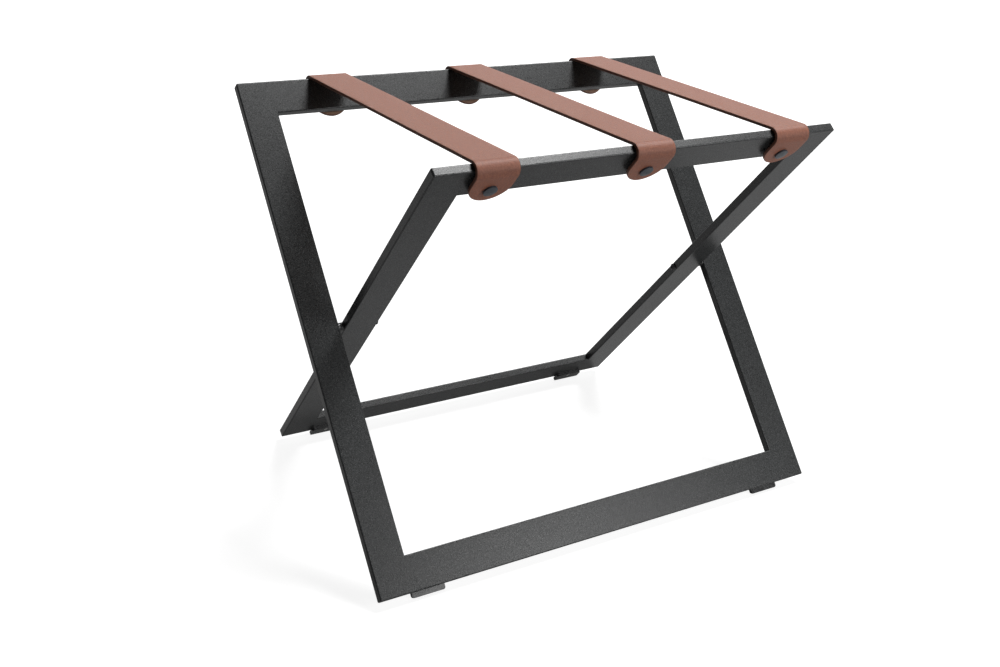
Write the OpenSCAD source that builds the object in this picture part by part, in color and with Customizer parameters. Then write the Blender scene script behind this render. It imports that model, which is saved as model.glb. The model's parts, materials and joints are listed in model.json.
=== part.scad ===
// Folding luggage bench: two flat-tube frames crossed like an X, three leather straps.
// X runs along the rails, +Y is the back, +Z is up, and the origin is on the floor
// under the middle of the pivot line. The model stands open, as it is used.

/* [Frames] */
// Width of the outer frame over its legs
outer_w = 600; // [500:10:700]
// Length of each frame, measured along its slope
frame_l = 600; // [500:10:700]
// Lean of each frame from upright when the bench is open, in degrees
lean = 40; // [34:1:46]
// Side gap between an outer leg and the inner leg beside it
side_gap = 6; // [4:0.5:10]
// Radius of each frame's outer corners, seen flat on
corner_r = 2.5; // [1:0.25:5]

/* [Flat tube] */
// Width of the flat tube
tube_w = 40; // [34:1:50]
// Thickness of the flat tube
tube_t = 10; // [10:0.5:14]
// Wall of the flat tube
tube_wall = 1.5; // [1.2:0.1:1.5]
// Radius of the tube's long outer edges
tube_edge_r = 1.5; // [1:0.25:2.5]

/* [Straps] */
// Width of a strap
strap_w = 48; // [36:1:56]
// Thickness of the leather
strap_t = 3; // [2:0.25:4]
// Space between an outer strap and the inner edge of the inner leg
strap_inset = 3; // [0:1:20]
// Radius of the leather's bend over a top rail, on its inner side
strap_bend_r = 7.6; // [6.8:0.2:8.2]
// Length of leather that hangs past the rail's lower edge
tongue_over = 2.5; // [1:0.5:8]

/* [Strap rivets] */
// Diameter of a rivet's low cap
rivet_cap_d = 15; // [12:0.5:20]
// Height of the cap, dome included
rivet_cap_h = 2.4; // [2:0.2:4]
// Diameter of a rivet's shank
rivet_d = 5; // [4:0.5:6]
// Height of the shoulder that holds the leather off the rail's face
rivet_shoulder_h = 3.2; // [2.8:0.1:4]
// Distance from the rivet's centre to the rail's lower edge
rivet_edge = 15; // [10:1:18]

/* [Pivots] */
// Diameter of a pivot bolt's shank
pivot_d = 5; // [4:0.25:5]
// Diameter of a pivot bolt's button head
pivot_head_d = 9.5; // [8:0.5:10]
// Height of that head
pivot_head_h = 2.8; // [2:0.2:4]
// Length of the threaded insert inside the outer leg
insert_l = 9; // [6:1:16]

/* [Feet] */
// Width of a foot pad, which ends level with the leg's inner edge
foot_w = 40; // [30:1:50]
// Thickness of a foot pad
foot_t = 4.5; // [4:0.5:8]
// How far a foot pad reaches past the rail's lower edge
foot_drop = 6; // [5:0.5:10]
// Height of the foot pad that lies on the rail
foot_grip = 10; // [9:0.5:16]
// Height that is worn flat off the pad's lower corner, where it meets the floor
foot_flat = 1.5; // [1:0.25:2.5]

/* [Hidden] */
$fn = 64;

// Surplus on every cutting shape
overrun = 1;
// Inner corner radius of the tube's bore
tube_bore_r = 0.5;
// Flats that make up half of a frame's outer corner, and its extra radius
corner_steps = 3;
corner_ease = 0.1;
// Clearance between the leather and the steel on either side of it
strap_clear = 0.3;
// Flats that make up each bend of the leather, and the extra radius of its round end
bend_steps = 13;
tongue_ease = 0.25;
// Radial play of a rivet in the leather and in the rail's wall
rivet_leather_play = 0.3;
rivet_wall_play = 0.05;
// Straight rim under the cap's dome, width of the shoulder, and the set head in the tube
rivet_rim = 1.9;
rivet_shoulder_over = 2;
rivet_tail_over = 1.5;
rivet_tail_h = 1.6;
// Radial running play of the bolt, its thread play, and the end play at its head
pivot_play = 0.05;
thread_play = 0.03;
pivot_end_play = 0.3;
// Wall of the sleeve and of the insert, with the play between them and the tube
sleeve_wall = 0.85;
sleeve_play = 0.02;
insert_flange_t = 0.8;
insert_flange_over = 1.2;
// Hexagon socket of the pivot bolt: width across the corners, and depth
socket_d = 3.4;
socket_depth = 1.5;
head_rim = 0.8;
// Radius of a foot pad's corners, seen flat on
foot_r = 3;
// Countersunk foot screw
screw_d = 3.5;
screw_head_d = 6;
screw_head_h = 2;
screw_sink = 0.4;
screw_bite = 4;
screw_play = 0.2;
slot_w = 0.9;
slot_depth = 0.7;

inner_w = outer_w - 2 * (tube_w + side_gap);
half_l = frame_l / 2;
half_t = tube_t / 2;
sleeve_d = pivot_d + 2 * (pivot_play + sleeve_wall);
pivot_h = (half_l + foot_drop) * cos(lean) + (half_t + foot_t) * sin(lean) - foot_flat;

// The leather rests just above the rail's inner edge. It bends round a circle that brings
// it down over the rivets' shoulders, parallel with the rail's outer face.
strap_rest_z = pivot_h + (half_l - tube_edge_r) * cos(lean)
    + (half_t - tube_edge_r) * sin(lean) + tube_edge_r + strap_clear;
strap_face = half_t + rivet_shoulder_h + strap_clear;
bend_n = strap_face - strap_bend_r;
bend_z = strap_rest_z - strap_bend_r;
bend_u = (bend_z - pivot_h + bend_n * sin(lean)) / cos(lean);
bend_y = bend_u * sin(lean) + bend_n * cos(lean);
tongue_end_u = half_l - tube_w - tongue_over;
tongue_u = tongue_end_u + strap_w / 2;
rivet_u = half_l - tube_w + rivet_edge;
rivet_seat = strap_face + strap_t + strap_clear;
strap_x = inner_w / 2 - tube_w - strap_inset - strap_w / 2;

foot_h = foot_grip + foot_drop;
foot_u = -half_l - foot_drop + foot_h / 2;
foot_screw_u = -half_l + foot_grip / 2;
outer_foot_x = outer_w / 2 - tube_w - foot_w / 2;
inner_foot_x = inner_w / 2 - tube_w - foot_w / 2;

coated_steel = [0.28, 0.28, 0.29];
black_steel = [0.1, 0.11, 0.13];
bare_steel = [0.7, 0.7, 0.7];
leather = [0.64, 0.47, 0.41];
black_plastic = [0.13, 0.13, 0.14];

// A frame's own plane: X across, Y up along its slope, Z out of the face that
// carries the strap ends and the feet. The two frames mirror each other.
module on_inner() translate([0, 0, pivot_h]) rotate([90 + lean, 0, 0]) children();
module on_outer() mirror([0, 1, 0]) on_inner() children();

module rounded_rect(w, h, r) {
    square([w - 2 * r, h], center = true);
    square([w, h - 2 * r], center = true);
    for (x = [-1, 1], y = [-1, 1]) translate([x * (w / 2 - r), y * (h / 2 - r)]) circle(r);
}

module tube_section() difference() {
    rounded_rect(tube_w, tube_t, tube_edge_r);
    rounded_rect(tube_w - 2 * tube_wall, tube_t - 2 * tube_wall, tube_bore_r);
}

// Points of one outer corner of a frame w wide, through 45 degrees from the angle given
function corner_arc(w, from) = [
    for (i = [0:corner_steps]) let (a = from + i * 45 / corner_steps)
        [w / 2 - corner_r, half_l - corner_r] + (corner_r + corner_ease) * [cos(a), sin(a)]
];

// The inner end of the 45 degree cut at that corner
function mitre_end(w) = [w / 2, half_l] - (tube_w + overrun) * [1, 1];

// A leg of a frame w wide, on the side -1 or +1, with both ends cut at 45 degrees
module mitred_leg(w, side) mirror([side < 0 ? 1 : 0, 0, 0]) {
    half = concat([[w / 2 + overrun, half_l - corner_r]], corner_arc(w, 0), [mitre_end(w)]);
    intersection() {
        translate([(w - tube_w) / 2, 0, 0]) rotate([90, 0, 0])
            linear_extrude(frame_l + 2 * overrun, center = true) tube_section();
        linear_extrude(tube_t + 2 * overrun, center = true)
            polygon(concat(half, [for (i = [len(half) - 1:-1:0]) [half[i][0], -half[i][1]]]));
    }
}

// A rail of a frame w wide, at the frame's end -1 or +1, cut the same way
module mitred_rail(w, end) mirror([0, end < 0 ? 1 : 0, 0]) {
    half = concat([mitre_end(w)], corner_arc(w, 45), [[w / 2 - corner_r, half_l + overrun]]);
    intersection() {
        translate([0, (frame_l - tube_w) / 2, 0]) rotate([90, 0, 90])
            linear_extrude(w + 2 * overrun, center = true) tube_section();
        linear_extrude(tube_t + 2 * overrun, center = true)
            polygon(concat(half, [for (i = [len(half) - 1:-1:0]) [-half[i][0], half[i][1]]]));
    }
}

// A round shape along +X from the pivot line, mirrored for the side -1
module along_pivot(side, from) translate([side * from, 0, 0]) rotate([0, side * 90, 0]) children();

module outer_leg(side) color(coated_steel) on_outer() difference() {
    mitred_leg(outer_w, side);
    along_pivot(side, outer_w / 2 - tube_w - overrun)
        cylinder(h = tube_wall + 2 * overrun, d = sleeve_d + 2 * sleeve_play);
}

module inner_leg(side) color(coated_steel) on_inner() difference() {
    mitred_leg(inner_w, side);
    along_pivot(side, inner_w / 2 - tube_w - overrun)
        cylinder(h = tube_w + 2 * overrun, d = sleeve_d + 2 * sleeve_play);
}

// A top rail has a hole in its outer wall for each strap rivet
module top_rail(w) color(coated_steel) difference() {
    mitred_rail(w, 1);
    for (k = [-1:1]) translate([k * strap_x, rivet_u, half_t - tube_wall - overrun])
        cylinder(h = tube_wall + 2 * overrun, d = rivet_d + 2 * rivet_wall_play);
}

// A bottom rail has a hole in the same wall for each foot screw
module bottom_rail(w, foot_x) color(coated_steel) difference() {
    mitred_rail(w, -1);
    for (side = [-1, 1])
        translate([side * foot_x, foot_screw_u, half_t - tube_wall - overrun])
            cylinder(h = tube_wall + 2 * overrun, d = screw_d);
}

// Domed disc standing on z = 0
module domed_cap(d, h, rim) {
    rise = h - rim;
    dome_r = (pow(d / 2, 2) + pow(rise, 2)) / (2 * rise);
    rotate_extrude() intersection() {
        square([d / 2, h]);
        translate([0, h - dome_r]) circle(dome_r, $fn = 256);
    }
}

// Button-head bolt from inside the inner leg into the outer leg's threaded insert
module pivot_bolt(side) {
    head_x = inner_w / 2 - tube_w - pivot_end_play;
    tip_x = outer_w / 2 - tube_w + insert_l;
    color(black_steel) on_inner() {
        along_pivot(side, head_x) cylinder(h = tip_x - head_x, d = pivot_d);
        along_pivot(side, head_x) mirror([0, 0, 1]) difference() {
            domed_cap(pivot_head_d, pivot_head_h, head_rim);
            translate([0, 0, pivot_head_h - socket_depth])
                cylinder(h = socket_depth + overrun, d = socket_d, $fn = 6);
        }
    }
}

// Threaded insert in the outer leg's inner wall, its flange in the side gap
module pivot_insert(side) color(bare_steel) on_outer()
    along_pivot(side, outer_w / 2 - tube_w) difference() {
        union() {
            cylinder(h = insert_l, d = sleeve_d);
            translate([0, 0, -insert_flange_t])
                cylinder(h = insert_flange_t, d = sleeve_d + 2 * insert_flange_over);
        }
        translate([0, 0, -insert_flange_t - overrun])
            cylinder(h = insert_l + insert_flange_t + 2 * overrun, d = pivot_d + 2 * thread_play);
    }

// Washer that keeps the legs apart
module pivot_spacer(side) {
    spacer_l = side_gap - insert_flange_t - pivot_end_play;
    color(black_plastic) on_outer() along_pivot(side, inner_w / 2 + pivot_end_play)
        difference() {
            cylinder(h = spacer_l, d = sleeve_d + 2 * insert_flange_over);
            translate([0, 0, -overrun])
                cylinder(h = spacer_l + 2 * overrun, d = pivot_d + 2 * pivot_play);
        }
}

// Sleeve across the inner leg, in which the bolt turns
module pivot_sleeve(side) color(bare_steel) on_inner()
    along_pivot(side, inner_w / 2 - tube_w) difference() {
        cylinder(h = tube_w, d = sleeve_d);
        translate([0, 0, -overrun])
            cylinder(h = tube_w + 2 * overrun, d = pivot_d + 2 * pivot_play);
    }

// Points of the leather's bend at radius r, from straight up round to the rail's outer face
function bend_arc(r) = [
    for (i = [0:bend_steps]) let (a = 90 + i * (90 + lean) / bend_steps)
        [r * cos(a) - bend_y, r * sin(a) + bend_z]
];

// Front half of a strap's side view: out along its outer face, back along its inner one
function strap_half() = let (
    outside = bend_arc(strap_bend_r + strap_t),
    inside = bend_arc(strap_bend_r),
    hang = (bend_u - tongue_end_u) * [sin(lean), -cos(lean)]
) concat(outside, [outside[bend_steps] + hang, inside[bend_steps] + hang],
    [for (i = [bend_steps:-1:0]) inside[i]]);

module strap_profile() {
    half = strap_half();
    polygon(concat(half, [for (i = [len(half) - 1:-1:0]) [-half[i][0], half[i][1]]]));
}

// What is cut from a strap's end: the corners that leave it round, and the rivet's hole
module strap_end_cut(x) translate([x, tongue_u, half_t]) {
    cut_l = strap_w / 2 + overrun;
    linear_extrude(rivet_seat - half_t + overrun) {
        difference() {
            translate([-cut_l, -cut_l]) square([2 * cut_l, cut_l]);
            circle(strap_w / 2 + tongue_ease);
        }
        translate([0, rivet_u - tongue_u]) circle(d = rivet_d + 2 * rivet_leather_play);
    }
}

module strap(x) color(leather) difference() {
    translate([x, 0, 0]) rotate([90, 0, 90])
        linear_extrude(strap_w, center = true) strap_profile();
    on_inner() strap_end_cut(x);
    on_outer() strap_end_cut(x);
}

// Shouldered rivet through a strap's end and the rail's wall, set inside the tube
module strap_rivet(x) color(black_steel) translate([x, rivet_u, 0]) {
    tail_z = half_t - tube_wall - rivet_tail_h;
    translate([0, 0, rivet_seat]) domed_cap(rivet_cap_d, rivet_cap_h, rivet_rim);
    translate([0, 0, half_t + rivet_wall_play])
        cylinder(h = rivet_shoulder_h - rivet_wall_play, d = rivet_d + 2 * rivet_shoulder_over);
    translate([0, 0, tail_z]) cylinder(h = rivet_seat - tail_z, d = rivet_d);
    translate([0, 0, tail_z]) cylinder(h = rivet_tail_h, d = rivet_d + 2 * rivet_tail_over);
}

module foot_screw_shape(x, play) translate([x, foot_screw_u, 0]) {
    top = half_t + foot_t - screw_sink;
    bottom = half_t - tube_wall - screw_bite / 2;
    translate([0, 0, bottom]) cylinder(h = top - bottom, d = screw_d + 2 * play);
    translate([0, 0, top - screw_head_h])
        cylinder(h = screw_head_h, d1 = screw_d + 2 * play, d2 = screw_head_d + 2 * play);
}

module foot_screw(x) color(bare_steel) difference() {
    foot_screw_shape(x, 0);
    translate([x, foot_screw_u, half_t + foot_t - screw_sink])
        cube([screw_head_d, slot_w, 2 * slot_depth], center = true);
}

// Foot pad in its frame's plane, before its corner is worn to the floor
module foot_blank(x) difference() {
    translate([x, foot_u, half_t]) {
        linear_extrude(foot_t) rounded_rect(foot_w, foot_h, foot_r);
    }
    foot_screw_shape(x, screw_play);
    translate([x, foot_screw_u, half_t + foot_t - screw_sink])
        cylinder(h = screw_sink + overrun, d = screw_head_d + 2 * screw_play);
}

module below_floor() translate([-outer_w, -frame_l, -foot_t - foot_drop])
    cube([2 * outer_w, 2 * frame_l, foot_t + foot_drop]);

module front_foot(side) color(black_plastic) difference() {
    on_outer() foot_blank(side * outer_foot_x);
    below_floor();
}

module back_foot(side) color(black_plastic) difference() {
    on_inner() foot_blank(side * inner_foot_x);
    below_floor();
}

outer_leg(-1);  // outer_left_leg
outer_leg(1);  // outer_right_leg
on_outer() top_rail(outer_w);  // outer_top_rail
on_outer() bottom_rail(outer_w, outer_foot_x);  // outer_bottom_rail
inner_leg(-1);  // inner_left_leg
inner_leg(1);  // inner_right_leg
on_inner() top_rail(inner_w);  // inner_top_rail
on_inner() bottom_rail(inner_w, inner_foot_x);  // inner_bottom_rail
pivot_bolt(-1);  // left_pivot_bolt
pivot_bolt(1);  // right_pivot_bolt
pivot_insert(-1);  // left_pivot_insert
pivot_insert(1);  // right_pivot_insert
pivot_spacer(-1);  // left_pivot_spacer
pivot_spacer(1);  // right_pivot_spacer
pivot_sleeve(-1);  // left_pivot_sleeve
pivot_sleeve(1);  // right_pivot_sleeve
strap(-strap_x);  // left_strap
strap(0);  // middle_strap
strap(strap_x);  // right_strap
on_inner() strap_rivet(-strap_x);  // left_strap_front_rivet
on_inner() strap_rivet(0);  // middle_strap_front_rivet
on_inner() strap_rivet(strap_x);  // right_strap_front_rivet
on_outer() strap_rivet(-strap_x);  // left_strap_back_rivet
on_outer() strap_rivet(0);  // middle_strap_back_rivet
on_outer() strap_rivet(strap_x);  // right_strap_back_rivet
front_foot(-1);  // front_left_foot
front_foot(1);  // front_right_foot
back_foot(-1);  // back_left_foot
back_foot(1);  // back_right_foot
on_outer() for (side = [-1, 1]) foot_screw(side * outer_foot_x);  // front_foot_screws
on_inner() for (side = [-1, 1]) foot_screw(side * inner_foot_x);  // back_foot_screws
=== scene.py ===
import json
import math

import bmesh
import bpy
from mathutils import Euler, Matrix, Vector
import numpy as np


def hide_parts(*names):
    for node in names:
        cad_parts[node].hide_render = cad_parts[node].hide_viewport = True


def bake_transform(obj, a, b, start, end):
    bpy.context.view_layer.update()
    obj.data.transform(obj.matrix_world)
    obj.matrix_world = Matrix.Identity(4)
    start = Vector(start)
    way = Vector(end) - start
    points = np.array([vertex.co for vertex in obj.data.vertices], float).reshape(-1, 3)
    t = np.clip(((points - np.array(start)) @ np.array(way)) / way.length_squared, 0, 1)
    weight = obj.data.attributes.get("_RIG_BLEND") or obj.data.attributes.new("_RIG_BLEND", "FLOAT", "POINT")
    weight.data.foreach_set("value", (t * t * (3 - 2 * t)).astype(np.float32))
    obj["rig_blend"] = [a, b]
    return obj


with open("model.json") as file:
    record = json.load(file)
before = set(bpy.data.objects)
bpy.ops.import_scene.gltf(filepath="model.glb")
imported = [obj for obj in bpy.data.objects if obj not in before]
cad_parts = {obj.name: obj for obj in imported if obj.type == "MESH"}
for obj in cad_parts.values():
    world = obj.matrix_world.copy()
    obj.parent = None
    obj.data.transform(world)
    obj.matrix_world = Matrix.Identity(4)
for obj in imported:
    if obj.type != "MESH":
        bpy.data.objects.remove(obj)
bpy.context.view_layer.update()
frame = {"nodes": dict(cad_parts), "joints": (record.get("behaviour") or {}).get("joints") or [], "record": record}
NODES = frame["nodes"]
FOLD = frame["joints"][0]

# Driving sizes of the bench, in metres, as in its CAD source
OUTER_W = 0.600
FRAME_L = 0.600
LEAN = math.radians(40)
SIDE_GAP = 0.006
TUBE_W = 0.040
TUBE_T = 0.010
TUBE_EDGE_R = 0.0015
STRAP_W = 0.048
STRAP_T = 0.003
STRAP_INSET = 0.003
STRAP_CLEAR = 0.0003
BEND_R = 0.0076
TONGUE_OVER = 0.0025
RIVET_SHOULDER_H = 0.0032

# Places that follow from them. The leather bends round a centre that lies BEND_U along its
# frame's slope from the pivot and BEND_N out from the frame's middle plane.
PIVOT_Z = FOLD["pos_m"][2]
CLOSED = math.radians(FOLD["range_deg"][1])
STRAP_X = OUTER_W / 2 - SIDE_GAP - 2 * TUBE_W - STRAP_INSET - STRAP_W / 2
RAIL_TOP = (
    (FRAME_L / 2 - TUBE_EDGE_R) * math.cos(LEAN)
    + (TUBE_T / 2 - TUBE_EDGE_R) * math.sin(LEAN)
    + TUBE_EDGE_R
)
BEND_Z = PIVOT_Z + RAIL_TOP + STRAP_CLEAR - BEND_R
BEND_N = TUBE_T / 2 + RIVET_SHOULDER_H + STRAP_CLEAR - BEND_R
BEND_U = (BEND_Z - PIVOT_Z + BEND_N * math.sin(LEAN)) / math.cos(LEAN)
BEND_Y = BEND_U * math.sin(LEAN) + BEND_N * math.cos(LEAN)
TONGUE_END = FRAME_L / 2 - TUBE_W - TONGUE_OVER

# The leather fills most of the clearance that the plain CAD strap keeps on both sides
LEATHER_FILL = 0.0002
LEATHER_IN = BEND_R - LEATHER_FILL
LEATHER_T = STRAP_T + 2 * LEATHER_FILL

# Eased edges of the cut leather, in degrees round each corner, and the points on each face
CORNER_R = 0.0007
CORNER_DEG = (22.5, 45.0, 67.5)
FACE_POINTS = 13

# Rows along the leather: by the angle round its tip, by number in the tongue and the bend,
# then by distance on the flat, which grows from the rail up to the part that forms the loop.
# MIDDLE_GAP is the least distance that is left before the row in the middle.
QUARTER_TURN_DEG = 90
TIP_STEP_DEG = 4
TONGUE_STEPS = 9
BEND_STEPS = 40
SHORTEST_STEP = 0.0006
STEP_GROWTH = 1.16
LONGEST_STEP = 0.004
LOOP_STEP = 0.0022
MIDDLE_GAP = 0.0005

# Folded leather: half of the length that forms the loop, the gap between a frame's face and
# the layer that hangs beside it, and, in radians about the pivot, how softly that layer turns
# down and how near its frame's plane the leather stays put
LOOP_HALF = 0.030
HANG_GAP = 0.0006
TURN_SOFTNESS = 0.0022
HELD_ANGLE = 0.004

# A hand-cut strap wanders up to 0.2 mm off a straight line. Each wave is its height in metres,
# its radians per metre and its share of the strap's own shift.
WANDER = ((0.00012, 23.0, 1.0), (0.00008, 61.0, 2.1))

# Where on the hide each strap is cut, in metres, so that no two faces share their grain
FIRST_SHIFT = 0.4
NEXT_SHIFT = 1.7
FLESH_SHIFT = 0.2

# How strongly a glossy surface mirrors the white background, which the camera sees at 1
BACKGROUND_IN_GLOSS = 0.16

# The floor lies just under the feet, and turns fully white between two distances from the bench
FLOOR_SIZE = 14
FLOOR_DROP = 0.0004
FLOOR_GREY = 0.38
FLOOR_DISTANCES = (0.5, 1.6)
FLOOR_WHITENESS = (0.88, 1.05)
WORLD_LIGHT = 0.02

# Lamps: name, place, point they are aimed at, width and height, and power in watts
LAMPS = (
    ("top_softbox", (2.20, 0.15, 4.70), (0, 0, 0.3), (1.3, 1.8), 236),
    ("front_softbox", (1.20, -2.05, 1.05), (0, 0, 0.3), (0.8, 1.5), 21),
    ("back_panel", (2.0, 3.0, 1.45), (0, 0, 0.45), (3.4, 1.4), 25),
)

# The photograph's camera: its focal length in pixels of the photograph's width, its place in
# metres, and its turn in degrees about X, Y and Z
PHOTO_W_PX = 1000
FOCAL_PX = 1217.216
SENSOR_MM = 36.0
CAMERA_PLACE = (-0.77288, -1.13249, 0.78337)
CAMERA_TURN_DEG = (66.2486, -3.1093, -31.2973)


def add_object(name, data):
    """A new object in the scene."""
    made = bpy.data.objects.new(name, data)
    bpy.context.scene.collection.objects.link(made)
    return made


# Node helpers
def surface_group(name, colours, values=()):
    """A node group that turns a place on the surface and the named inputs into the colour,
    roughness and height of a material there."""
    group = bpy.data.node_groups.new(name, "ShaderNodeTree")
    inputs = [("Vector", "NodeSocketVector")]
    inputs += [(label, "NodeSocketColor") for label in colours]
    inputs += [(label, "NodeSocketFloat") for label in values]
    outputs = [("Color", "NodeSocketColor"), ("Roughness", "NodeSocketFloat"),
               ("Height", "NodeSocketFloat")]
    for label, kind in inputs:
        group.interface.new_socket(name=label, in_out="INPUT", socket_type=kind)
    for label, kind in outputs:
        group.interface.new_socket(name=label, in_out="OUTPUT", socket_type=kind)
    start = group.nodes.new("NodeGroupInput")
    end = group.nodes.new("NodeGroupOutput")
    return group, start.outputs, end.inputs


def connect(tree, value, socket):
    """Feeds a socket from another socket, a number or a colour."""
    if hasattr(value, "is_linked"):
        tree.links.new(value, socket)
    elif isinstance(value, (int, float)):
        socket.default_value = value
    else:
        socket.default_value = (*value, 1.0)


def noise(tree, place, scale, detail, rough=0.5):
    """Soft noise from 0 to 1, where scale is the number of its cells in a metre."""
    made = tree.nodes.new("ShaderNodeTexNoise")
    made.inputs["Scale"].default_value = scale
    made.inputs["Detail"].default_value = detail
    made.inputs["Roughness"].default_value = rough
    tree.links.new(place, made.inputs["Vector"])
    return made.outputs["Fac"]


def ramp(tree, value, between, to=(0.0, 1.0)):
    """A value brought from one span to another, and held at its ends."""
    made = tree.nodes.new("ShaderNodeMapRange")
    for label, number in zip(("From Min", "From Max", "To Min", "To Max"), (*between, *to)):
        made.inputs[label].default_value = number
    tree.links.new(value, made.inputs["Value"])
    return made.outputs["Result"]


def combine(tree, operation, first, second):
    """The sum, product, difference or greater of two values."""
    made = tree.nodes.new("ShaderNodeMath")
    made.operation = operation
    connect(tree, first, made.inputs[0])
    connect(tree, second, made.inputs[1])
    return made.outputs[0]


def blend_colour(tree, share, first, second):
    """A colour that goes from the first to the second as share goes from 0 to 1."""
    made = tree.nodes.new("ShaderNodeMix")
    made.data_type = "RGBA"
    made.clamp_factor = True
    factor = next(s for s in made.inputs if s.type == "VALUE")
    colours = [s for s in made.inputs if s.type == "RGBA"]
    for value, socket in zip((share, first, second), (factor, *colours)):
        connect(tree, value, socket)
    return next(s for s in made.outputs if s.type == "RGBA")


# Surface effects that the materials share
BLACK = (0.0, 0.0, 0.0)


def powder_group():
    """Fine orange-peel texture, painted shade in its hollows and tiny light flecks of a textured powder coat."""
    group, given, result = surface_group("powder_texture", ("Base", "Fleck"))
    place = given["Vector"]
    cloud = noise(group, place, scale=26.0, detail=3.0)
    peel = noise(group, place, scale=900.0, detail=2.0, rough=0.6)
    fleck = ramp(group, noise(group, place, scale=1100.0, detail=1.0), (0.55, 0.68))
    clouded = ramp(group, cloud, (0.3, 0.7), to=(0.0, 0.22))
    colour = blend_colour(group, clouded, given["Base"], BLACK)
    # painted shade: the colour darkens towards black where the orange peel's relief is lowest
    peel_hollow_shade = ramp(group, peel, (0.40, 0.60), to=(0.55, 0.0))
    colour = blend_colour(group, peel_hollow_shade, colour, BLACK)
    flecked = combine(group, "MULTIPLY", fleck, 0.45)
    colour = blend_colour(group, flecked, colour, given["Fleck"])
    group.links.new(colour, result["Color"])
    group.links.new(ramp(group, peel, (0.35, 0.65), to=(0.26, 0.40)), result["Roughness"])
    group.links.new(peel, result["Height"])
    return group


def leather_group():
    """Pebbled grain, pores and soft mottling of smooth belt leather, by metres of leather, with painted shade in
    its low relief.
    """
    group, given, result = surface_group("leather_grain", ("Base", "Dark", "Warm"))
    place = given["Vector"]
    pebbles = group.nodes.new("ShaderNodeTexVoronoi")
    pebbles.feature = "DISTANCE_TO_EDGE"
    pebbles.inputs["Scale"].default_value = 850.0
    group.links.new(place, pebbles.inputs["Vector"])
    rise = ramp(group, pebbles.outputs["Distance"], (0.0, 0.16))
    mottle = noise(group, place, scale=150.0, detail=5.0, rough=0.7)
    fine = noise(group, place, scale=430.0, detail=4.0, rough=0.7)
    pores = ramp(group, noise(group, place, scale=1500.0, detail=1.0), (0.62, 0.74))
    warmed = ramp(group, mottle, (0.38, 0.64), to=(0.0, 0.9))
    colour = blend_colour(group, warmed, given["Base"], given["Warm"])
    # painted shade: the colour darkens towards Dark where the fine relief is low, in the creases between pebbles
    # and in the pores
    grain_hollow_shade = (
        ramp(group, fine, (0.38, 0.62), to=(0.50, 0.0)),
        ramp(group, rise, (0.0, 1.0), to=(0.30, 0.0)),
        combine(group, "MULTIPLY", pores, 0.5),
    )
    for share in grain_hollow_shade:
        colour = blend_colour(group, share, colour, given["Dark"])
    group.links.new(colour, result["Color"])
    group.links.new(ramp(group, fine, (0.3, 0.7), to=(0.42, 0.60)), result["Roughness"])
    pebble_height = combine(group, "MULTIPLY", rise, 0.6)
    fine_height = combine(group, "MULTIPLY", fine, 0.6)
    pore_depth = combine(group, "MULTIPLY", pores, 0.35)
    height = combine(group, "ADD", pebble_height, fine_height)
    group.links.new(combine(group, "SUBTRACT", height, pore_depth), result["Height"])
    return group


def moulded_group():
    """Faint spark-eroded texture of moulded plastic, with light handling marks."""
    group, given, result = surface_group(
        "moulded_texture", ("Base", "Dust"), ("Smoothest", "Dullest"))
    place = given["Vector"]
    spark = noise(group, place, scale=1700.0, detail=2.0, rough=0.6)
    marks = noise(group, place, scale=160.0, detail=4.0, rough=0.6)
    dusty = ramp(group, marks, (0.45, 0.8), to=(0.0, 0.5))
    group.links.new(blend_colour(group, dusty, given["Base"], given["Dust"]), result["Color"])
    dull = ramp(group, marks, (0.3, 0.7))
    span = combine(group, "SUBTRACT", given["Dullest"], given["Smoothest"])
    added = combine(group, "MULTIPLY", dull, span)
    group.links.new(combine(group, "ADD", given["Smoothest"], added), result["Roughness"])
    group.links.new(spark, result["Height"])
    return group


def metal_group():
    """Fine turning marks and handling smudges of small turned or plated hardware."""
    group, given, result = surface_group("hardware_finish", ("Base", "Tint"))
    place = given["Vector"]
    fine = noise(group, place, scale=2400.0, detail=2.0, rough=0.6)
    smudge = noise(group, place, scale=260.0, detail=4.0, rough=0.65)
    tinted = ramp(group, smudge, (0.35, 0.7), to=(0.0, 0.6))
    group.links.new(blend_colour(group, tinted, given["Base"], given["Tint"]), result["Color"])
    group.links.new(ramp(group, smudge, (0.3, 0.7), to=(0.26, 0.44)), result["Roughness"])
    group.links.new(fine, result["Height"])
    return group


POWDER = powder_group()
LEATHER = leather_group()
MOULDED = moulded_group()
METAL = metal_group()


# Materials
def material(name, group, bump, depth, metallic=0.0, specular=0.5, coords="Object", **given):
    """A material whose colour, roughness and bump come from a shared group. depth is the
    bump's height in metres, and given holds the group's own inputs."""
    made = bpy.data.materials.new(name)
    made.use_nodes = True
    tree = made.node_tree
    tree.nodes.clear()
    output = tree.nodes.new("ShaderNodeOutputMaterial")
    shader = tree.nodes.new("ShaderNodeBsdfPrincipled")
    shader.inputs["Metallic"].default_value = metallic
    shader.inputs["Specular IOR Level"].default_value = specular
    place = tree.nodes.new("ShaderNodeTexCoord")
    surface = tree.nodes.new("ShaderNodeGroup")
    surface.node_tree = group
    tree.links.new(place.outputs[coords], surface.inputs["Vector"])
    for label, value in given.items():
        connect(tree, value, surface.inputs[label])
    relief = tree.nodes.new("ShaderNodeBump")
    relief.inputs["Strength"].default_value = bump
    relief.inputs["Distance"].default_value = depth
    tree.links.new(surface.outputs["Height"], relief.inputs["Height"])
    tree.links.new(surface.outputs["Color"], shader.inputs["Base Color"])
    tree.links.new(surface.outputs["Roughness"], shader.inputs["Roughness"])
    tree.links.new(relief.outputs["Normal"], shader.inputs["Normal"])
    tree.links.new(shader.outputs["BSDF"], output.inputs["Surface"])
    return made


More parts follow.
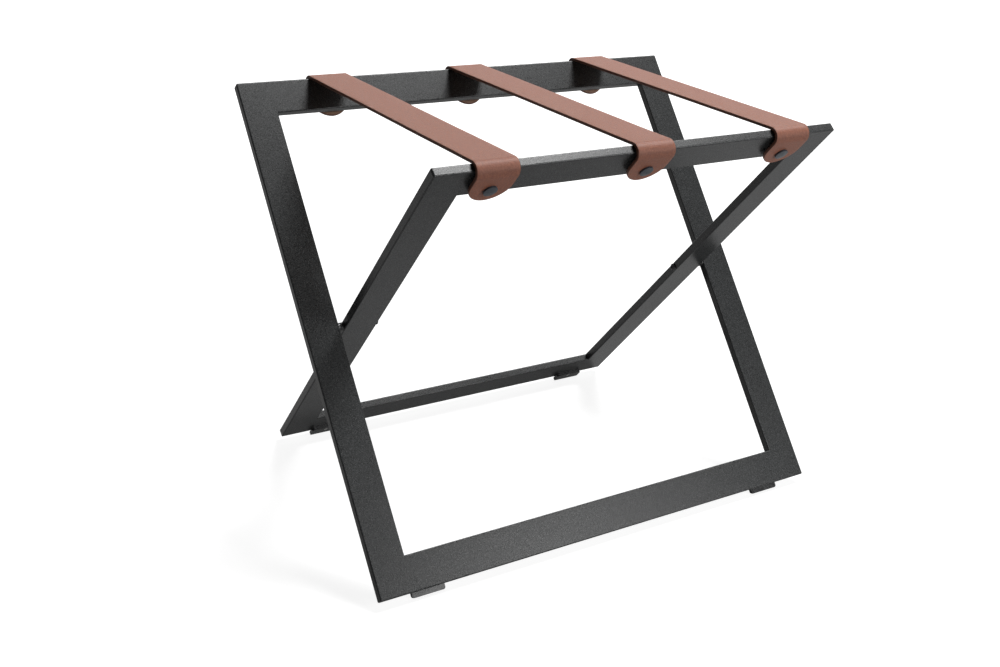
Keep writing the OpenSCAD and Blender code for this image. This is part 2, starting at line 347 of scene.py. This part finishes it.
MATERIALS = {
    "frame_coating": material(
        "anthracite_powder_coat", POWDER, bump=0.35, depth=0.00012,
        Base=(0.0235, 0.0255, 0.0265), Fleck=(0.15, 0.155, 0.155)),
    "rivet_black": material(
        "rivet_black_steel", METAL, bump=0.15, depth=0.00005,
        Base=(0.045, 0.056, 0.072), Tint=(0.030, 0.036, 0.046)),
    "bolt_black": material(
        "pivot_bolt_steel", METAL, bump=0.15, depth=0.00005,
        Base=(0.05, 0.05, 0.055), Tint=(0.03, 0.03, 0.032)),
    "bare_steel": material(
        "zinc_plated_steel", METAL, bump=0.15, depth=0.00005, metallic=1.0,
        Base=(0.16, 0.16, 0.165), Tint=(0.10, 0.10, 0.105)),
    "screw_steel": material(
        "bright_screw_steel", METAL, bump=0.10, depth=0.00005, metallic=1.0,
        Base=(0.86, 0.86, 0.84), Tint=(0.70, 0.70, 0.70)),
    "spacer_plastic": material(
        "spacer_black_plastic", MOULDED, bump=0.2, depth=0.00006,
        Base=(0.020, 0.020, 0.021), Dust=(0.045, 0.045, 0.045),
        Smoothest=0.48, Dullest=0.66),
    "foot_plastic": material(
        "foot_black_plastic", MOULDED, bump=0.15, depth=0.00005, specular=0.6,
        Base=(0.030, 0.031, 0.033), Dust=(0.060, 0.061, 0.063),
        Smoothest=0.20, Dullest=0.32),
}
LEATHERS = {
    "face": material(
        "strap_leather_face", LEATHER, bump=0.5, depth=0.00024, specular=0.5, coords="UV",
        Base=(0.352, 0.133, 0.082), Dark=(0.165, 0.056, 0.031), Warm=(0.41, 0.150, 0.086)),
    "edge": material(
        "strap_leather_cut_edge", LEATHER, bump=0.5, depth=0.0002, specular=0.3, coords="UV",
        Base=(0.175, 0.072, 0.046), Dark=(0.095, 0.038, 0.024), Warm=(0.23, 0.092, 0.052)),
    "back": material(
        "strap_leather_flesh_side", LEATHER, bump=0.7, depth=0.0003, specular=0.2, coords="UV",
        Base=(0.47, 0.29, 0.22), Dark=(0.30, 0.17, 0.12), Warm=(0.52, 0.31, 0.21)),
}

slots = {s["node"]: s["material_slot"] for s in frame["record"]["subparts"]}
for name, obj in NODES.items():
    if slots[name] in MATERIALS:
        obj.data.materials.clear()
        obj.data.materials.append(MATERIALS[slots[name]])


# Straps
def tongue_drops():
    """How far below the bend the rows of a hanging end lie, from its round tip upwards."""
    hang = BEND_U - TONGUE_END
    round_angles = range(TIP_STEP_DEG, QUARTER_TURN_DEG + 1, TIP_STEP_DEG)
    tip = [hang - STRAP_W / 2 * (1 - math.cos(math.radians(a))) for a in round_angles]
    straight = [tip[-1] * (1 - i / TONGUE_STEPS) for i in range(1, TONGUE_STEPS)]
    return tip + straight


def strap_path():
    """Rows of a strap from its front tip to its back tip. Each is a point of its inner face
    in the Y-Z plane, the outward direction there and the length of leather so far."""
    down = Vector((math.sin(LEAN), -math.cos(LEAN)))
    outward = Vector((-math.cos(LEAN), -math.sin(LEAN)))
    upward = Vector((0.0, 1.0))
    centre = Vector((-BEND_Y, BEND_Z))
    face = centre + outward * LEATHER_IN
    half = [(face + down * drop, outward) for drop in tongue_drops()]

    bend_start = math.pi + LEAN
    bend_end = math.pi / 2
    for i in range(BEND_STEPS + 1):
        angle = bend_start + (bend_end - bend_start) * i / BEND_STEPS
        direction = Vector((math.cos(angle), math.sin(angle)))
        half.append((centre + direction * LEATHER_IN, direction))

    y = -BEND_Y
    step = SHORTEST_STEP
    while y + step < -MIDDLE_GAP:
        y += step
        half.append((Vector((y, BEND_Z + LEATHER_IN)), upward))
        step = min(step * STEP_GROWTH, LONGEST_STEP) if y < -LOOP_HALF else LOOP_STEP

    middle = (Vector((0.0, BEND_Z + LEATHER_IN)), upward)
    other_half = [(Vector((-p.x, p.y)), Vector((-d.x, d.y))) for p, d in reversed(half)]
    rows = []
    length = 0.0
    last = None
    for point, direction in half + [middle] + other_half:
        core = point + direction * (LEATHER_T / 2)
        if last is not None:
            length += (core - last).length
        last = core
        rows.append((point, direction, length))
    return rows


def half_width(s, total):
    """Half of the strap's width at length s: it narrows to a round tip at both ends."""
    radius = STRAP_W / 2
    from_tip = min(s, total - s) + radius * (1 - math.cos(math.radians(TIP_STEP_DEG)))
    if from_tip >= radius:
        return radius
    return math.sqrt(radius ** 2 - (radius - from_tip) ** 2)


def section(half_w):
    """Points round the strap's cut section as (across, height, kind), its corners eased."""
    inside = half_w - CORNER_R
    low = CORNER_R
    high = LEATHER_T - CORNER_R
    side_heights = (high, LEATHER_T / 2, low)

    def flat(sign, height, kind):
        across = [2 * inside * i / (FACE_POINTS - 1) - inside for i in range(FACE_POINTS)]
        return [(sign * x, height, kind) for x in across]

    def corner(across, height, start_deg):
        turns = [math.radians(start_deg - a) for a in CORNER_DEG]
        return [(across + CORNER_R * math.cos(a), height + CORNER_R * math.sin(a), "edge")
                for a in turns]

    return (
        flat(1, LEATHER_T, "face")
        + corner(inside, high, 90)
        + [(half_w, height, "edge") for height in side_heights]
        + corner(inside, low, 0)
        + flat(-1, 0.0, "back")
        + corner(-inside, low, 270)
        + [(-half_w, height, "edge") for height in reversed(side_heights)]
        + corner(-inside, high, 180)
    )


def fold_share(y, z, up):
    """How far a point follows the inner frame as the bench folds, from 0 to 1. up is its
    height in the leather. Folded, the leather hangs in a layer beside each frame, and the
    two layers meet in a loop."""
    radius = math.hypot(y, z - PIVOT_Z)
    angle = math.atan2(y, z - PIVOT_Z)
    if angle < HELD_ANGLE - LEAN or y < -BEND_Y:
        return 1.0
    if angle > LEAN - HELD_ANGLE or y > BEND_Y:
        return 0.0

    hang = math.asin((TUBE_T / 2 + HANG_GAP + up) / radius)

    def beside(at_rest):
        """Angle from a frame's plane when folded: as at rest near the rail, then hanging."""
        near = max(TURN_SOFTNESS - abs(at_rest - hang), 0.0) / TURN_SOFTNESS
        return min(at_rest, hang) - near * near * TURN_SOFTNESS / 4

    front = CLOSED - LEAN + beside(angle + LEAN)
    back = LEAN - beside(LEAN - angle)
    along = min(max((y + LOOP_HALF) / (2 * LOOP_HALF), 0.0), 1.0)
    back_share = along * along * (3 - 2 * along)
    target = front * (1 - back_share) + back * back_share
    return min(max((target - angle) / CLOSED, 0.0), 1.0)


def make_strap(name, cx, shift):
    """One strap as a swept mesh, with a grain and a slight wander of its own."""
    kinds = list(LEATHERS)
    rows = strap_path()
    total = rows[-1][2]
    bm = bmesh.new()
    uv = bm.loops.layers.uv.new("leather_m")
    rings = []
    shares = []
    flat_uv = {}
    for point, direction, s in rows:
        wander = sum(h * math.sin(s * turn + part * shift) for h, turn, part in WANDER)
        ring = []
        for across, height, kind in section(half_width(s, total)):
            place = point + direction * height
            vert = bm.verts.new((cx + across + wander, place.x, place.y))
            shares.append(fold_share(place.x, place.y, height))
            side_shift = FLESH_SHIFT if kind == "back" else 0.0
            flat_uv[vert] = (s + shift, across + side_shift + height)
            ring.append((vert, kind))
        rings.append(ring)
    for ring, next_ring in zip(rings, rings[1:]):
        for i, (vert, kind) in enumerate(ring):
            j = (i + 1) % len(ring)
            side = bm.faces.new((vert, next_ring[i][0], next_ring[j][0], ring[j][0]))
            side.material_index = kinds.index(kind if kind == ring[j][1] else "edge")
            side.smooth = True
    for ring in (rings[0], rings[-1][::-1]):
        tip = bm.faces.new([vert for vert, _ in ring])
        tip.material_index = kinds.index("edge")
    for made in bm.faces:
        for loop in made.loops:
            loop[uv].uv = flat_uv[loop.vert]
    bmesh.ops.recalc_face_normals(bm, faces=bm.faces)
    mesh = bpy.data.meshes.new(name)
    bm.to_mesh(mesh)
    bm.free()
    obj = add_object(name, mesh)
    for leather in LEATHERS.values():
        mesh.materials.append(leather)
    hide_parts(name.replace("_leather", ""))
    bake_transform(obj, "outer_frame", "inner_frame",
             start=(cx, BEND_Y, BEND_Z), end=(cx, -BEND_Y, BEND_Z))
    # the leather folds in its own way: each point's share comes from where it hangs
    mesh.attributes["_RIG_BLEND"].data.foreach_set("value", shares)
    return obj


for k, (side, cx) in enumerate((("left", -STRAP_X), ("middle", 0.0), ("right", STRAP_X))):
    make_strap(side + "_strap_leather", cx, NEXT_SHIFT * k + FIRST_SHIFT)


# Floor and background
def background_share(tree):
    """1 for what the camera sees, also through glass, less for what a glossy surface
    mirrors, and 0 for the light that falls on the bench."""
    path = tree.nodes.new("ShaderNodeLightPath")
    seen = combine(tree, "MAXIMUM",
                   path.outputs["Is Camera Ray"], path.outputs["Is Transmission Ray"])
    mirrored = combine(tree, "MULTIPLY", path.outputs["Is Glossy Ray"], BACKGROUND_IN_GLOSS)
    return combine(tree, "MAXIMUM", seen, mirrored)


def white_source(tree, kind, strength):
    """An emission or background node of plain white light."""
    made = tree.nodes.new(kind)
    made.inputs["Color"].default_value = (1, 1, 1, 1)
    made.inputs["Strength"].default_value = strength
    return made


def mix_by_background(tree, lit, seen):
    """One shader for the light on the bench, and another for what is seen behind it."""
    mix = tree.nodes.new("ShaderNodeMixShader")
    tree.links.new(background_share(tree), mix.inputs[0])
    tree.links.new(lit.outputs[0], mix.inputs[1])
    tree.links.new(seen.outputs[0], mix.inputs[2])
    return mix


def floor_material():
    """A pale floor that takes the bench's shadow and fades to white away from it."""
    made = bpy.data.materials.new("studio_floor")
    made.use_nodes = True
    tree = made.node_tree
    tree.nodes.clear()
    output = tree.nodes.new("ShaderNodeOutputMaterial")
    diffuse = tree.nodes.new("ShaderNodeBsdfDiffuse")
    diffuse.inputs["Color"].default_value = (FLOOR_GREY, FLOOR_GREY, FLOOR_GREY, 1)
    place = tree.nodes.new("ShaderNodeTexCoord")
    distance = tree.nodes.new("ShaderNodeVectorMath")
    distance.operation = "LENGTH"
    tree.links.new(place.outputs["Object"], distance.inputs[0])
    whiteness = ramp(tree, distance.outputs["Value"], FLOOR_DISTANCES, to=FLOOR_WHITENESS)
    glow = white_source(tree, "ShaderNodeEmission", 1.0)
    tree.links.new(whiteness, glow.inputs["Strength"])
    dark = white_source(tree, "ShaderNodeEmission", 0.0)
    add = tree.nodes.new("ShaderNodeAddShader")
    tree.links.new(diffuse.outputs[0], add.inputs[0])
    tree.links.new(mix_by_background(tree, dark, glow).outputs[0], add.inputs[1])
    tree.links.new(add.outputs[0], output.inputs["Surface"])
    return made


bpy.ops.mesh.primitive_plane_add(size=FLOOR_SIZE, location=(0, 0, -FLOOR_DROP))
floor = bpy.context.object
floor.name = "studio_floor"
floor.data.materials.append(floor_material())

world = bpy.data.worlds.new("studio")
bpy.context.scene.world = world
world.use_nodes = True
sky = world.node_tree
sky.nodes.clear()
sky_output = sky.nodes.new("ShaderNodeOutputWorld")
sky_lit = white_source(sky, "ShaderNodeBackground", WORLD_LIGHT)
sky_seen = white_source(sky, "ShaderNodeBackground", 1.0)
sky_mix = mix_by_background(sky, sky_lit, sky_seen)
sky.links.new(sky_mix.outputs[0], sky_output.inputs["Surface"])

# Lamps and camera
for name, place, target, size, watts in LAMPS:
    data = bpy.data.lights.new(name, "AREA")
    data.shape = "RECTANGLE"
    data.size, data.size_y = size
    data.energy = watts
    lamp = add_object(name, data)
    lamp.location = place
    lamp.rotation_euler = (Vector(target) - Vector(place)).to_track_quat("-Z", "Y").to_euler()

camera_data = bpy.data.cameras.new("photo_camera")
camera_data.sensor_width = SENSOR_MM
camera_data.lens = SENSOR_MM * FOCAL_PX / PHOTO_W_PX
camera = add_object("photo_camera", camera_data)
camera_turn = Euler([math.radians(a) for a in CAMERA_TURN_DEG])
camera.matrix_world = Matrix.LocRotScale(Vector(CAMERA_PLACE), camera_turn, None)
bpy.context.scene.camera = camera
bpy.context.scene.view_settings.view_transform = "Standard"
